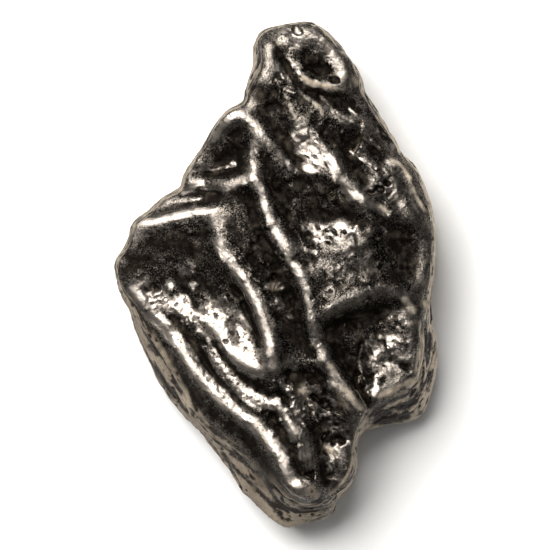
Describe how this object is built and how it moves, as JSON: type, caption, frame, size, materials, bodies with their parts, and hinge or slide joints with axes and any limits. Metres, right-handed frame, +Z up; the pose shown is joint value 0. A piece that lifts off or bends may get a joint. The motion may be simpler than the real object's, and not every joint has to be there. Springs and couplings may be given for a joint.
{
  "type": "iron meteorite",
  "caption": "Rough iron meteorite fragment with slanting ridges, thumbprint hollows, pits and a worn flat underside that it rests on.",
  "frame": {"origin": "middle of the outline in X and Y, on the plane that the stone rests on", "axes": "+Y along the length towards the narrow lobe at the top of the picture, +X to the picture's right, +Z up from the resting face"},
  "size_m": [0.0324, 0.0504, 0.0128],
  "materials": {
    "nickel_iron": "weathered and brushed nickel-iron: worn bright crests, dark brown-black patina and pits in the hollows, tan dust on the walls"
  },
  "bodies": {
    "root": {"meteorite": "nickel_iron"}
  },
  "joints": []
}
